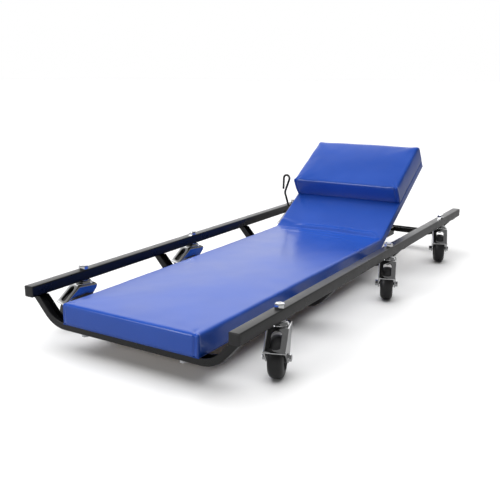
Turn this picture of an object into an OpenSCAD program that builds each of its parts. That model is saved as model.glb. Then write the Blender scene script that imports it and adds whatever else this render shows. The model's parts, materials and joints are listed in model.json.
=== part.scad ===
// Mechanic's creeper: a low padded board hung between two side rails on six swivel casters,
// with a headrest that a wire prop holds up.
// +X is to the right seen from the foot end, +Y runs from the feet to the head, +Z is up.
// The origin is on the floor, under the middle of the frame.

/* [Frame] */
// Length over the rails and their end plugs
overall_length = 1016; // [900:2:1200]
// Width over the two side rails
frame_width = 406; // [396:2:480]
// Side of the square rail tube
rail_size = 18; // [16:1:25]
// Wall of the rail tube
rail_wall = 1.5; // [1:0.1:2]
// Height of the rails' top faces above the floor
rail_top = 102; // [100:1:106]
// Height of the cross channels' undersides above the floor
channel_bottom = 37; // [34:1:38]
// Width of a cross channel, along the creeper
channel_width = 20; // [18:1:24]
// Height of a cross channel's flanges
channel_height = 12; // [11:1:12]
// Sheet thickness of a cross channel
channel_wall = 1.6; // [1.2:0.1:2]
// Slope of a cross channel's ends where they rise to the rails
channel_slope = 48; // [42:1:55]
// Outside radius of the bends in a cross channel
channel_bend = 55; // [40:1:60]

/* [Board and cushion] */
// Width over the cushion
cushion_width = 262; // [240:2:264]
// Distance from the frame's foot end to the cushion
cushion_setback = 8; // [6:1:14]
// Height of the cushion's top above the floor
cushion_top = 84; // [78:1:92]
// Thickness of the main board
board_thickness = 10; // [9:1:12]
// How far the cushion stands out past the board
cover_margin = 1; // [1:0.5:3]

/* [Headrest] */
// Distance of the headrest's hinge from the middle of the frame
hinge_y = 150; // [146:1:152]
// Angle of the raised headrest
rest_angle = 31; // [20:1:31]
// Length of the headrest from its hinge
headrest_length = 321; // [312:1:322]
// Thickness of the headrest's board
head_board_thickness = 8; // [7:1:9]
// Thickness of the thin pad on the headrest's board
head_pad_thickness = 10; // [8:1:12]
// Distance of the pillow from the hinge
pillow_start = 157; // [150:1:165]
// Thickness of the pillow
pillow_thickness = 44.5; // [30:0.5:50]
// Distance of the wire prop's pivot from the hinge
prop_pivot = 131; // [125:1:135]
// Length of the wire prop from its pivot to its foot
prop_length = 122; // [121:0.5:123]
// Lean of the wire prop from upright
prop_lean = 56; // [55:0.5:57]

/* [Casters] */
// Diameter of a wheel
wheel_diameter = 63.5; // [60:0.5:64]
// Width of a tyre
tyre_width = 24; // [20:1:25]
// Distance of a wheel's axle behind its swivel axis
caster_trail = 14; // [10:1:16]
// Angle that the casters are swung outwards by as the creeper stands
caster_swing = 20; // [0:1:30]
// Distance of the foot casters from the middle of the frame
foot_caster_y = -387; // [-400:1:-370]
// Distance of the right middle caster from the middle of the frame
mid_right_caster_y = 43; // [20:1:55]
// Distance of the left middle caster from the middle of the frame
mid_left_caster_y = -72; // [-100:1:-40]
// Distance of the head casters from the middle of the frame
head_caster_y = 377; // [360:1:400]

/* [Hidden] */
$fn = 48;

// Frame
plug_head = 2;
rail_length = overall_length - 2 * plug_head;
rail_x = (frame_width - rail_size) / 2;
rail_bottom = rail_top - rail_size;
rail_corner = 2;
rail_bore = rail_size - 2 * rail_wall;
foot_channel_y = -487;
hip_channel_y = -186;
shoulder_channel_y = 121;
head_channel_y = 468;
channel_ys = [foot_channel_y, hip_channel_y, shoulder_channel_y, head_channel_y];
channel_rise = rail_bottom - channel_bottom;
channel_top = channel_bottom + channel_height;
channel_end_x = frame_width / 2 - 5;
bend_x = channel_end_x - channel_rise / tan(channel_slope)
    - channel_bend * tan(channel_slope / 2);
weld_leg = 4;

// Board, cushion and their bolts
board_bottom = channel_top;
board_top = board_bottom + board_thickness;
board_half = cushion_width / 2 - cover_margin;
cushion_start = -overall_length / 2 + cushion_setback;
board_start = cushion_start + cover_margin;
hinge_gap = 6;
board_end = hinge_y - hinge_gap;
board_bolt_x = 95;
bolt_channel_ys = [foot_channel_y, hip_channel_y, shoulder_channel_y];
board_bolt_r = 3;
board_bolt_hole_r = 3.3;
washer_thickness = 1.2;
tee_flange_r = 7.5;
tee_barrel_r = 4;

// Hinge
knuckle_r = 3;
hinge_z = board_bottom - knuckle_r;
leaf_thickness = 1.5;
leaf_length = 18;
leaf_width = 50;
hinge_x = 85;
hinge_pin_r = 1.5;
knuckle_gap = 0.4;
middle_knuckle = 18;
hinge_screw_x = 16;
hinge_screw_y = 12;

// Headrest, measured from the hinge axis along the board and square to it
head_board_start = hinge_gap;
head_board_end = headrest_length - cover_margin;
head_board_bottom = knuckle_r;
head_board_top = head_board_bottom + head_board_thickness;
head_pad_start = 18;
head_pad_top = head_board_top + head_pad_thickness;

// Wire prop
prop_wire_r = 2.5;
prop_bore_r = 2.58;
prop_axis_drop = 1;
prop_half = 66;
prop_bend = 8;
clip_r = head_board_bottom + prop_axis_drop;
clip_width = 12;
clip_reach = 13;
clip_xs = [-100, 92];
rack_x = 52;
rack_thickness = 3;
rack_top = 41.5;
rack_depth = 12;
rack_notch_r = 3.2;
rack_notch_ys = [323, 343, 364, 384, 403];

// Screws
screw_r = 1.6;
screw_hole_r = 1.65;
screw_head_r = 3;
screw_head_height = 1.5;
screw_length = 6.5;

// Casters
kingpin_r = 4;
fork_bore_r = 4.08;
kingpin_head_flats = 14;
kingpin_head_height = 6.5;
spacer_r = 9;
spacer_height = 1.5;
cup_r = 14.5;
cup_top = rail_bottom - spacer_height;
cup_wall = 1.5;
cup_bottom = cup_top - 5.1;
fork_top = cup_bottom - 0.4;
fork_sheet = 2.2;
fork_head_r = 17;
fork_inside = 14.3;
fork_outside = fork_inside + fork_sheet;
ball_r = 1.7;
ball_ring_r = 9.5;
ball_count = 14;
lock_nut_flats = 13;
lock_nut_height = 6.5;
lock_nut_top = fork_top - fork_sheet - 0.4;
wheel_r = wheel_diameter / 2;
crown_r = 42;
core_r = 19;
core_half = 13;
axle_r = 3;
axle_bore_r = 3.06;
axle_head_flats = 10;
axle_head_height = 3.5;
axle_nut_height = 5;

// Each caster: its name, the side it is on, and its place along the rail
CASTERS = [
    ["foot_left", -1, foot_caster_y],
    ["foot_right", 1, foot_caster_y],
    ["mid_left", -1, mid_left_caster_y],
    ["mid_right", 1, mid_right_caster_y],
    ["head_left", -1, head_caster_y],
    ["head_right", 1, head_caster_y],
];

// ---- Shared shapes -------------------------------------------------------------------

// A rectangle with round corners, centred
module rounded_rectangle(size, r) {
    square([size[0] - 2 * r, size[1]], center = true);
    square([size[0], size[1] - 2 * r], center = true);
    for (x = [-1, 1], y = [-1, 1])
        translate([x * (size[0] / 2 - r), y * (size[1] / 2 - r)]) circle(r);
}

// A flat slab with round upright corners, from one corner of its box to the other
module slab(low, high, r) {
    translate([(low[0] + high[0]) / 2, (low[1] + high[1]) / 2, low[2]])
        linear_extrude(high[2] - low[2])
            rounded_rectangle([high[0] - low[0], high[1] - low[1]], r);
}

// A hexagon prism, measured across its flats
module hexagon(flats, height) {
    cylinder(h = height, r = flats / 2 / cos(30), $fn = 6);
}

// Places a shape that is drawn along Y from a side view: its X is along Y, its Y is up
module side_profile(width) {
    rotate([90, 0, 90]) translate([0, 0, -width / 2]) linear_extrude(width) children();
}

// Places a shape that is drawn from the foot end: its X is across, its Y is up
module end_profile(width) {
    rotate([90, 0, 0]) translate([0, 0, -width / 2]) linear_extrude(width) children();
}

// Puts its children in the headrest's own frame: Y along the board, Z square to it
module on_headrest() {
    translate([0, hinge_y, hinge_z]) rotate([rest_angle, 0, 0]) children();
}

// Repeats its children at each caster's swivel axis, swung outwards and mirrored on the left
module at_casters() {
    for (c = CASTERS) at_caster(c) children();
}

module at_caster(c) {
    translate([c[1] * rail_x, c[2], 0]) mirror([c[1] < 0 ? 1 : 0, 0, 0])
        rotate([0, 0, caster_swing]) children();
}

// A round-headed screw that points up from the origin
module screw() {
    cylinder(h = screw_length, r = screw_r);
    translate([0, 0, -screw_head_height]) cylinder(h = screw_head_height, r = screw_head_r);
}

// A round wire along a flat path, with a bend at each inner point
function unit(v) = v / norm(v);
function turn(u, v) = atan2(u[0] * v[1] - u[1] * v[0], u[0] * v[0] + u[1] * v[1]);
function bend_cut(path, i, r) = i == 0 || i == len(path) - 1 ? 0
    : r * tan(abs(turn(path[i] - path[i - 1], path[i + 1] - path[i])) / 2);

module bent_wire(path, wire_r, bend_r) {
    for (i = [0 : len(path) - 2]) {
        along = unit(path[i + 1] - path[i]);
        start = path[i] + along * bend_cut(path, i, bend_r);
        end = path[i + 1] - along * bend_cut(path, i + 1, bend_r);
        translate(start) rotate([0, 90, atan2(along[1], along[0])])
            cylinder(h = norm(end - start), r = wire_r);
    }
    for (i = [1 : len(path) - 2]) {
        before = unit(path[i] - path[i - 1]);
        after = unit(path[i + 1] - path[i]);
        angle = turn(before, after);
        side = sign(angle) * [-before[1], before[0]];
        start = path[i] - before * bend_cut(path, i, bend_r);
        centre = start + side * bend_r;
        first = angle > 0 ? -side : -sign(angle) * [-after[1], after[0]];
        translate(centre) rotate([0, 0, atan2(first[1], first[0])])
            rotate_extrude(angle = abs(angle)) translate([bend_r, 0]) circle(wire_r);
    }
}

// Points along an arc, from one angle to another
function arc(centre, r, from, to, steps) =
    [for (i = [0 : steps]) centre + r * [cos(from + (to - from) * i / steps),
                                         sin(from + (to - from) * i / steps)]];

// A wire swept along a flat path that has any bends
module swept_wire(path, wire_r, sides = 12) {
    last = len(path) - 1;
    points = [for (i = [0 : last], k = [0 : sides - 1])
        let (along = unit(path[min(i + 1, last)] - path[max(i - 1, 0)]), a = k * 360 / sides)
        concat(path[i] + wire_r * cos(a) * [-along[1], along[0]], wire_r * sin(a))];
    skin = [for (i = [0 : last - 1], k = [0 : sides - 1]) let (next = (k + 1) % sides)
        [i * sides + k, (i + 1) * sides + k, (i + 1) * sides + next, i * sides + next]];
    start_cap = [for (k = [0 : sides - 1]) k];
    end_cap = [for (k = [sides - 1 : -1 : 0]) last * sides + k];
    polyhedron(points, concat([start_cap, end_cap], skin));
}

// ---- Frame ---------------------------------------------------------------------------

module side_rail(side) {
    color("#1a1b1d") translate([side * rail_x, 0, rail_bottom + rail_size / 2])
        difference() {
            end_profile(rail_length) difference() {
                rounded_rectangle([rail_size, rail_size], rail_corner);
                square(rail_bore, center = true);
            }
            for (c = CASTERS) if (c[1] == side)
                translate([0, c[2], -rail_size]) cylinder(h = 2 * rail_size, r = kingpin_r + 0.3);
        }
}

// The space above a cross channel's underside, moved inwards by an offset
module trough(offset_in) {
    r = channel_bend - offset_in;
    bend_end = [bend_x + r * sin(channel_slope), channel_bend - r * cos(channel_slope)];
    top_x = bend_end[0] + (channel_rise - bend_end[1]) / tan(channel_slope);
    intersection() {
        translate([-frame_width, 0]) square([2 * frame_width, channel_rise]);
        union() {
            polygon([[-top_x, channel_rise], [-bend_end[0], bend_end[1]], [-bend_x, offset_in],
                     [bend_x, offset_in], bend_end, [top_x, channel_rise]]);
            for (x = [-bend_x, bend_x]) translate([x, channel_bend]) circle(r, $fn = 96);
        }
    }
}

module cross_channel(y, drilled) {
    color("#202124") translate([0, y, channel_bottom]) difference() {
        union() {
            end_profile(channel_width) difference() {
                trough(0);
                trough(channel_wall);
            }
            for (side = [-1, 1]) translate([0, side * (channel_width - channel_wall) / 2, 0])
                end_profile(channel_wall) difference() {
                    trough(0);
                    trough(channel_height);
                }
        }
        if (drilled) for (x = [-board_bolt_x, board_bolt_x])
            translate([x, 0, -1]) cylinder(h = channel_wall + 2, r = board_bolt_hole_r);
    }
}

// One weld under each end of each channel
module frame_welds() {
    color("#2c2d30") for (y = channel_ys, side = [-1, 1])
        translate([side * channel_end_x, y, rail_bottom]) end_profile(channel_width)
            polygon([[0, 0], [side * weld_leg, 0],
                     [-side * weld_leg * cos(channel_slope), -weld_leg * sin(channel_slope)]]);
}

module rail_end_plugs() {
    plug_depth = 14;
    plug_side = rail_bore - 0.2;
    color("#101112") for (x = [-rail_x, rail_x], end = [-1, 1])
        translate([x, end * rail_length / 2, rail_bottom + rail_size / 2]) {
            translate([0, end * plug_head / 2, 0]) end_profile(plug_head)
                rounded_rectangle([rail_size, rail_size], rail_corner);
            translate([0, -end * plug_depth / 2, 0]) end_profile(plug_depth)
                square(plug_side, center = true);
        }
}

// Two notched strips between the shoulder and head channels, which carry the prop's foot
module prop_racks() {
    start = shoulder_channel_y + channel_width / 2;
    end = head_channel_y - channel_width / 2;
    tab = 12;
    tab_top = channel_top - 1;
    color("#202124") for (x = [-rack_x, rack_x]) translate([x, 0, 0])
        side_profile(rack_thickness) difference() {
            union() {
                translate([start, rack_top - rack_depth]) square([end - start, rack_depth]);
                for (y = [start, end - tab]) translate([y, rack_top - 1])
                    square([tab, tab_top - rack_top + 1]);
            }
            for (y = rack_notch_ys) translate([y, rack_top + 1.7]) circle(rack_notch_r);
        }
}

// ---- Main board and cushion ----------------------------------------------------------

module main_board() {
    color("#8a6b48") difference() {
        slab([-board_half, board_start, board_bottom], [board_half, board_end, board_top], 6);
        for (y = bolt_channel_ys, x = [-board_bolt_x, board_bolt_x])
            translate([x, y, board_bottom - 1]) cylinder(h = board_thickness + 2, r = tee_barrel_r);
        for (x = [-hinge_x, hinge_x], dx = [-hinge_screw_x, hinge_screw_x])
            translate([x + dx, hinge_y - hinge_screw_y, board_bottom - 1])
                cylinder(h = screw_length, r = screw_hole_r);
    }
}

module main_cushion() {
    relief = 0.3;
    color("#1d49c6") difference() {
        slab([-cushion_width / 2, cushion_start, board_top],
             [cushion_width / 2, board_end, cushion_top], 8);
        for (y = bolt_channel_ys, x = [-board_bolt_x, board_bolt_x]) translate([x, y, board_top - 1])
            cylinder(h = washer_thickness + 1 + relief, r = tee_flange_r + relief);
    }
}

module board_bolts() {
    color("#c9ccd0") for (y = bolt_channel_ys, x = [-board_bolt_x, board_bolt_x])
        translate([x, y, channel_bottom - washer_thickness]) {
            translate([0, 0, -4]) hexagon(10, 4);
            cylinder(h = board_top - channel_bottom, r = board_bolt_r);
        }
}

module board_washers() {
    color("#c9ccd0") for (y = bolt_channel_ys, x = [-board_bolt_x, board_bolt_x])
        translate([x, y, channel_bottom - washer_thickness]) difference() {
            cylinder(h = washer_thickness, r = 6.5);
            translate([0, 0, -1]) cylinder(h = washer_thickness + 2, r = board_bolt_r + 0.2);
        }
}

module board_tee_nuts() {
    color("#c9ccd0") for (y = bolt_channel_ys, x = [-board_bolt_x, board_bolt_x])
        translate([x, y, board_bottom + 1]) difference() {
            union() {
                cylinder(h = board_thickness - 1, r = tee_barrel_r);
                translate([0, 0, board_thickness - 1]) cylinder(h = washer_thickness, r = tee_flange_r);
            }
            translate([0, 0, -1]) cylinder(h = 20, r = board_bolt_r + 0.05);
        }
}

// ---- Hinge ---------------------------------------------------------------------------

// A hinge leaf along -Y from the pin's axis, with a knuckle over each stretch of the pin
module hinge_leaf(knuckles) {
    difference() {
        union() {
            translate([-leaf_width / 2, -leaf_length, knuckle_r - leaf_thickness])
                cube([leaf_width, leaf_length - hinge_gap + 1, leaf_thickness]);
            for (k = knuckles) translate([(k[0] + k[1]) / 2, 0, 0]) side_profile(k[1] - k[0]) {
                circle(knuckle_r);
                translate([-hinge_gap, knuckle_r - leaf_thickness]) square([hinge_gap, leaf_thickness]);
            }
        }
        rotate([0, 90, 0]) cylinder(h = 2 * leaf_width, r = hinge_pin_r + 0.05, center = true);
        for (x = [-hinge_screw_x, hinge_screw_x])
            translate([x, -hinge_screw_y, 0]) cylinder(h = 2 * knuckle_r, r = screw_hole_r);
    }
}

module hinge_leaves_fixed() {
    inner = middle_knuckle / 2 + knuckle_gap;
    color("#9da1a6") for (x = [-hinge_x, hinge_x]) translate([x, hinge_y, hinge_z])
        hinge_leaf([[-leaf_width / 2, -inner], [inner, leaf_width / 2]]);
}

module hinge_leaves_moving() {
    color("#9da1a6") on_headrest() for (x = [-hinge_x, hinge_x]) translate([x, 0, 0])
        mirror([0, 1, 0]) hinge_leaf([[-middle_knuckle / 2, middle_knuckle / 2]]);
}

module hinge_pins() {
    color("#b9bcc1") for (x = [-hinge_x, hinge_x]) translate([x, hinge_y, hinge_z])
        rotate([0, 90, 0]) cylinder(h = leaf_width + 2, r = hinge_pin_r, center = true);
}

module hinge_screws_fixed() {
    color("#c9ccd0") for (x = [-hinge_x, hinge_x], dx = [-hinge_screw_x, hinge_screw_x])
        translate([x + dx, hinge_y - hinge_screw_y, board_bottom - leaf_thickness]) screw();
}

module hinge_screws_moving() {
    color("#c9ccd0") on_headrest()
        for (x = [-hinge_x, hinge_x], dx = [-hinge_screw_x, hinge_screw_x])
            translate([x + dx, hinge_screw_y, head_board_bottom - leaf_thickness]) screw();
}

// ---- Headrest ------------------------------------------------------------------------

module head_board() {
    color("#8a6b48") on_headrest() difference() {
        slab([-board_half, head_board_start, head_board_bottom],
             [board_half, head_board_end, head_board_top], 6);
        for (x = [-hinge_x, hinge_x], dx = [-hinge_screw_x, hinge_screw_x])
            translate([x + dx, hinge_screw_y, 0])
                cylinder(h = head_board_bottom + screw_length - 1, r = screw_hole_r);
        for (x = clip_xs, side = [-1, 1]) translate([x, prop_pivot + side * (clip_reach - 4), 0])
            cylinder(h = head_board_bottom + screw_length - 1, r = screw_hole_r);
    }
}

module head_cushion() {
    color("#1d49c6") on_headrest()
        slab([-cushion_width / 2, head_pad_start, head_board_top],
             [cushion_width / 2, headrest_length, head_pad_top], 8);
}

module pillow() {
    color("#1d49c6") on_headrest()
        slab([-cushion_width / 2, pillow_start, head_pad_top],
             [cushion_width / 2, headrest_length, head_pad_top + pillow_thickness], 8);
}

// Saddle clips that hold the prop's axis against the underside of the headrest's board
module prop_clips() {
    color("#9da1a6") on_headrest() for (x = clip_xs)
        translate([x, prop_pivot, -prop_axis_drop]) difference() {
            side_profile(clip_width) difference() {
                union() {
                    circle(clip_r);
                    translate([-clip_reach, clip_r - leaf_thickness])
                        square([2 * clip_reach, leaf_thickness]);
                }
                circle(prop_bore_r);
            }
            for (side = [-1, 1]) translate([0, side * (clip_reach - 4), 0])
                cylinder(h = 2 * clip_r, r = screw_hole_r);
        }
}

module clip_screws() {
    color("#c9ccd0") on_headrest() for (x = clip_xs, side = [-1, 1])
        translate([x, prop_pivot + side * (clip_reach - 4), head_board_bottom - leaf_thickness])
            screw();
}

// ---- Wire prop -----------------------------------------------------------------------

// One bent wire: an axis in the clips, a leaning bail with its foot on the racks, and an
// upright hook at the left end that the hand turns
module prop_wire() {
    axis_end = 108;
    hook_x = -150;
    hook_wire_r = prop_wire_r - 0.1;
    loop = [hook_x - 4.4, 68.9];
    loop_r = 7.7;
    overlap = 3;
    bail = [[axis_end, 0], [prop_half, 0], [prop_half, -prop_length],
            [-prop_half, -prop_length], [-prop_half, 0], [hook_x + prop_bend, 0]];
    hook = concat(
        [[hook_x + prop_bend + overlap, 0]],
        arc([hook_x + prop_bend, prop_bend], prop_bend, -90, -162, 5),
        [[hook_x - 7.6, 30.3], [hook_x - 7.9, 34], [hook_x - 7.5, 38.1]],
        arc(loop, loop_r, -20, 178, 8),
        [[hook_x - 13, 42.2]]
    );
    color("#17181a") on_headrest() translate([0, prop_pivot, -prop_axis_drop])
        rotate([-rest_angle, 0, 0]) {
            rotate([90 + prop_lean, 0, 0]) bent_wire(bail, prop_wire_r, prop_bend);
            rotate([90, 0, 0]) swept_wire(hook, hook_wire_r);
        }
}

// ---- Casters -------------------------------------------------------------------------

// Bolt that clamps a caster to its rail and is the caster's swivel pin
module caster_bolts() {
    color("#d5d8dc") at_casters() {
        translate([0, 0, rail_top]) hexagon(kingpin_head_flats, kingpin_head_height);
        translate([0, 0, lock_nut_top - lock_nut_height - 2])
            cylinder(h = rail_top - lock_nut_top + lock_nut_height + 2, r = kingpin_r);
    }
}

module caster_spacers() {
    color("#b9bcc1") at_casters() translate([0, 0, cup_top]) difference() {
        cylinder(h = spacer_height, r = spacer_r);
        translate([0, 0, -1]) cylinder(h = spacer_height + 2, r = kingpin_r + 0.1);
    }
}

// Upper half of the swivel bearing
module caster_cups() {
    color("#d5d8dc") at_casters() translate([0, 0, cup_bottom]) difference() {
        cylinder(h = cup_top - cup_bottom, r = cup_r);
        translate([0, 0, -1]) cylinder(h = cup_top - cup_bottom - cup_wall + 1, r = cup_r - cup_wall);
        cylinder(h = 10, r = kingpin_r + 0.1);
    }
}

module caster_balls() {
    ball_z = (fork_top + cup_top - cup_wall) / 2;
    color("#e4e6e8") at_casters() for (i = [0 : ball_count - 1])
        rotate([0, 0, i * 360 / ball_count]) translate([ball_ring_r, 0, ball_z]) sphere(ball_r, $fn = 24);
}

module caster_lock_nuts() {
    color("#b9bcc1") at_casters() translate([0, 0, lock_nut_top - lock_nut_height]) difference() {
        hexagon(lock_nut_flats, lock_nut_height);
        translate([0, 0, -1]) cylinder(h = lock_nut_height + 2, r = kingpin_r + 0.05);
    }
}

// Side view of the fork's hood: flat under the cup, sloping over the tyre, and drawn in to
// the axle
module hood_outline() {
    boss_r = 9;
    polygon([[fork_head_r, fork_top], [-fork_head_r, fork_top], [-44, 52], [-42, 47],
             [-caster_trail - 6, wheel_r - 7], [-caster_trail + 6, wheel_r - 7],
             [8, 60], [fork_head_r, fork_top - 5]]);
    translate([-caster_trail, wheel_r]) circle(boss_r);
}

module fork(c) {
    color("#d5d8dc") at_caster(c) difference() {
        union() {
            side_profile(2 * fork_outside) hood_outline();
            translate([0, 0, fork_top - fork_sheet]) cylinder(h = fork_sheet, r = fork_head_r);
        }
        side_profile(2 * fork_inside) polygon([[40, fork_top - fork_sheet],
            [1 - fork_head_r, fork_top - fork_sheet], [-41, 50.5], [-60, 30], [-60, 0], [40, 0]]);
        end_profile(120) {
            translate([-8.5, 56]) square([17, 8]);
            translate([0, 64]) circle(8.5);
        }
        translate([0, 0, fork_top - 4]) cylinder(h = 8, r = fork_bore_r);
        translate([0, -caster_trail, wheel_r]) rotate([0, 90, 0])
            cylinder(h = 60, r = axle_r + 0.1, center = true);
    }
}

module axle(c) {
    color("#d5d8dc") at_caster(c) translate([0, -caster_trail, wheel_r]) rotate([0, 90, 0]) {
        translate([0, 0, fork_outside]) hexagon(axle_head_flats, axle_head_height);
        translate([0, 0, -fork_outside - axle_nut_height - 1])
            cylinder(h = 2 * fork_outside + axle_nut_height + 1, r = axle_r);
        translate([0, 0, -fork_outside - axle_nut_height]) difference() {
            hexagon(axle_head_flats, axle_nut_height);
            translate([0, 0, -1]) cylinder(h = axle_nut_height + 2, r = axle_r + 0.05);
        }
    }
}

module wheel_core(c) {
    color("#2a2b2d") at_caster(c) translate([0, -caster_trail, wheel_r]) rotate([0, 90, 0])
        difference() {
            union() {
                cylinder(h = 2 * core_half, r = 7.5, center = true);
                cylinder(h = 8, r = core_r, center = true);
                difference() {
                    cylinder(h = tyre_width - 3, r = core_r, center = true);
                    cylinder(h = tyre_width, r = core_r - 3, center = true);
                }
            }
            cylinder(h = 60, r = axle_bore_r, center = true);
        }
}

module tyre(c) {
    color("#1b1b1c") at_caster(c) translate([0, -caster_trail, wheel_r]) rotate([0, 90, 0])
        rotate_extrude($fn = 96) intersection() {
            translate([core_r, -tyre_width / 2]) square([wheel_r, tyre_width]);
            translate([wheel_r - crown_r, 0]) circle(crown_r, $fn = 96);
            translate([wheel_r - 16, 0]) circle(17, $fn = 96);
        }
}

// ---- Nodes ---------------------------------------------------------------------------

side_rail(-1);  // side_rail_left
side_rail(1);  // side_rail_right
cross_channel(foot_channel_y, true);  // cross_channel_foot
cross_channel(hip_channel_y, true);  // cross_channel_hip
cross_channel(shoulder_channel_y, true);  // cross_channel_shoulder
cross_channel(head_channel_y, false);  // cross_channel_head
rail_end_plugs();
frame_welds();
prop_racks();
main_board();
main_cushion();
board_bolts();
board_washers();
board_tee_nuts();
hinge_leaves_fixed();
hinge_screws_fixed();
caster_bolts();
caster_spacers();
caster_cups();
caster_balls();
caster_lock_nuts();
head_board();
head_cushion();
pillow();
hinge_leaves_moving();
hinge_pins();
hinge_screws_moving();
prop_clips();
clip_screws();
prop_wire();
for (c = CASTERS) {
    fork(c);
    axle(c);
    wheel_core(c);
    tyre(c);
}
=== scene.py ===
# %% [markdown]
# # A mechanic's creeper, finished in Blender
#
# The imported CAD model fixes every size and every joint. This lesson builds the looks around it:
# a stuffed vinyl cover and pillow, painted steel rails and channels, a bent wire prop and six
# plated casters. Everything is in metres, in the CAD model's own frame: +Y runs from the foot
# end to the head end, +Z is up and the origin is on the floor.

# %% Load the frame
import json
import math

import bmesh
import bpy
from mathutils import Matrix, Vector, noise


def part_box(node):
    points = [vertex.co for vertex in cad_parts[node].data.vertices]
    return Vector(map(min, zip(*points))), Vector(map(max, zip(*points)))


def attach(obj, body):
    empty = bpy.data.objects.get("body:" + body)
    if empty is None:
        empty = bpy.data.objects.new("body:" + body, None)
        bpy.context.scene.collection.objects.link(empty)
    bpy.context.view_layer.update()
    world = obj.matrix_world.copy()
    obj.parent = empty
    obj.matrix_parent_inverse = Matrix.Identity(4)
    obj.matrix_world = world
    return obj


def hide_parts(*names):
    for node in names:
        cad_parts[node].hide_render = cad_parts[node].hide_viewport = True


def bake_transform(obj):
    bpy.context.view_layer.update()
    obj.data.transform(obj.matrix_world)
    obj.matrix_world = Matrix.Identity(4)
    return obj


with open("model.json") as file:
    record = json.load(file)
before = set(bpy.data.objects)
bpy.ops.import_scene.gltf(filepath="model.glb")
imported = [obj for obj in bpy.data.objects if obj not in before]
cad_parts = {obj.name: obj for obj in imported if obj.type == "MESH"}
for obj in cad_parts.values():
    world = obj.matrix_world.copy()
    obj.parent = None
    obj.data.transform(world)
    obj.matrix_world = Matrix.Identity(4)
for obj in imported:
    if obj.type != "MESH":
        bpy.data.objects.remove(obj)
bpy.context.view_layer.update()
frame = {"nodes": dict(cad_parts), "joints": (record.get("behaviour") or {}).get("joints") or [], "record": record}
MM = 0.001

# %% [markdown]
# ## The camera
#
# A long, low view from the foot end's right. The camera is set first, because it decides which
# details are seen close and which only need to be sound. Its lens and place are plain numbers;
# depth of field stays off, so every other view is sharp too.

# %% Place the camera
LENS_MM = 50.16
CAMERA_AT = Vector((0.6589, -1.2173, 0.4265))
CAMERA_YAW = math.radians(31.82)
CAMERA_DOWN = math.radians(14.15)

camera = bpy.data.objects.new("camera", bpy.data.cameras.new("camera"))
camera.data.lens = LENS_MM
camera.data.sensor_width = 36.0
camera.location = CAMERA_AT
camera.rotation_euler = (math.pi / 2 - CAMERA_DOWN, 0.0, CAMERA_YAW)
bpy.context.scene.collection.objects.link(camera)
bpy.context.scene.camera = camera
print("camera", LENS_MM, "mm lens")

# %% [markdown]
# ## Small helpers for materials
#
# Every finish is a Principled shader with a few texture nodes on Object coordinates. The pieces
# all sit at the origin, so Object coordinates are the model's own metres, and a grain has the
# same size on every piece. A helper keeps each material's own cell down to what is special
# about it.

# %% Material helpers
def start_material(name, **sockets):
    """A new material whose Principled shader has these constant values."""
    material = bpy.data.materials.new(name)
    material.use_nodes = True
    shader = material.node_tree.nodes["Principled BSDF"]
    for socket, value in sockets.items():
        shader.inputs[socket.replace("_", " ")].default_value = value
    return material, material.node_tree, shader


def add_noise(tree, scale, detail=4.0, stretch=(1, 1, 1)):
    """Noise on the piece's own metres; scale is in bumps per metre."""
    where = tree.nodes.new("ShaderNodeTexCoord")
    mapping = tree.nodes.new("ShaderNodeMapping")
    mapping.inputs["Scale"].default_value = stretch
    pattern = tree.nodes.new("ShaderNodeTexNoise")
    pattern.inputs["Scale"].default_value = scale
    pattern.inputs["Detail"].default_value = detail
    tree.links.new(where.outputs["Object"], mapping.inputs["Vector"])
    tree.links.new(mapping.outputs["Vector"], pattern.inputs["Vector"])
    return pattern


def add_ramp(tree, value, low, high):
    """Turns a 0 to 1 value into a colour between two colours."""
    ramp = tree.nodes.new("ShaderNodeValToRGB")
    ramp.color_ramp.elements[0].position = 0.3
    ramp.color_ramp.elements[0].color = low
    ramp.color_ramp.elements[1].position = 0.7
    ramp.color_ramp.elements[1].color = high
    tree.links.new(value, ramp.inputs["Fac"])
    return ramp.outputs["Color"]


def add_range(tree, value, low, high):
    """Turns a 0 to 1 value into a number between two numbers."""
    spread = tree.nodes.new("ShaderNodeMapRange")
    spread.inputs["From Min"].default_value = 0.3
    spread.inputs["From Max"].default_value = 0.7
    spread.inputs["To Min"].default_value = low
    spread.inputs["To Max"].default_value = high
    tree.links.new(value, spread.inputs["Value"])
    return spread.outputs["Result"]


def add_bump(tree, shader, height, distance, strength=1.0, under=None):
    """Bumps of this height in metres, on top of the bumps that another node made."""
    bump = tree.nodes.new("ShaderNodeBump")
    bump.inputs["Distance"].default_value = distance
    bump.inputs["Strength"].default_value = strength
    tree.links.new(height, bump.inputs["Height"])
    if under is not None:
        tree.links.new(under.outputs["Normal"], bump.inputs["Normal"])
    tree.links.new(bump.outputs["Normal"], shader.inputs["Normal"])
    return bump


print("material helpers ready")

# %% [markdown]
# ## Upholstery vinyl
#
# Vinyl is a soft plastic skin pressed with a fine leather grain. It has a strong, slightly
# blurred shine, so the colour nearly washes out where it mirrors a bright ceiling and stays
# deep where it doesn't. Voronoi cells give the pebbled grain, a wide noise gives the slow
# waves of a skin stretched over foam, and the roughness varies a little as handled vinyl does.

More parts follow.
